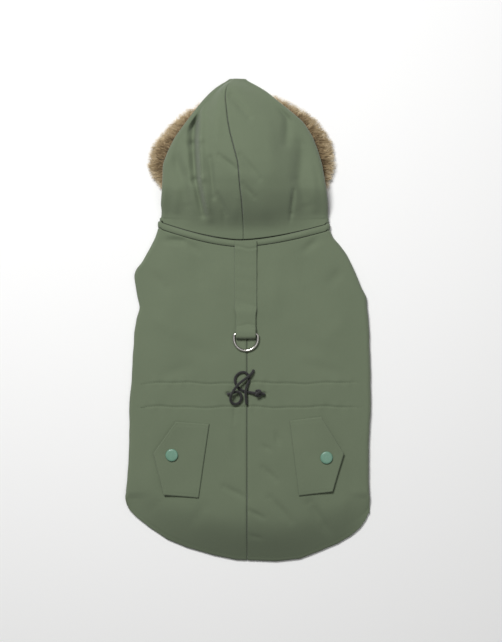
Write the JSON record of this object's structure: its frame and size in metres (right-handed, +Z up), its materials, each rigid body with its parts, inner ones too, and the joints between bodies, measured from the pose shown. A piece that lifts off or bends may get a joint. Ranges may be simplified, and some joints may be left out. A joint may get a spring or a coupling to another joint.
{
  "type": "hooded dog coat, laid flat",
  "caption": "Sleeveless hooded dog coat lying flat on its belly, with fur round the hood, a back strap with a ring, a tied waist cord and two pocket flaps.",
  "frame": {"origin": "under the middle of the coat's length and width, on the surface it lies on", "axes": "+Y along the back towards the hood, +X to the right as seen from above, +Z up out of the back"},
  "size_m": [0.2464, 0.4826, 0.0421],
  "materials": {
    "cotton": "matt olive-green woven cotton",
    "belly_cotton": "matt olive-green woven cotton",
    "fur": "long fawn imitation fur with dark roots",
    "cordage": "black braided cord",
    "nickel": "polished nickel plate",
    "enamel": "satin green enamel"
  },
  "bodies": {
    "coat": {"back_left": "cotton", "back_right": "cotton", "neck_band": "cotton", "hood_left": "cotton", "hood_right": "cotton", "waist_casing": "cotton", "lead_strap": "cotton", "flap_left": "cotton", "flap_right": "cotton", "belly_left": "belly_cotton", "belly_right": "belly_cotton", "fur_trim": "fur", "cord_left": "cordage", "cord_right": "cordage", "cord_knot": "cordage", "eyelet_left": "nickel", "eyelet_right": "nickel", "snap_left": "enamel", "snap_right": "enamel"},
    "ring": {"d_ring": "nickel"}
  },
  "joints": [
    {"name": "ring_swing", "type": "hinge", "parent": "coat", "child": "ring", "pos_m": [-0.0021, -0.01318, 0.0128], "axis": [-1, 0, 0], "range_deg": [0, 150]}
  ]
}
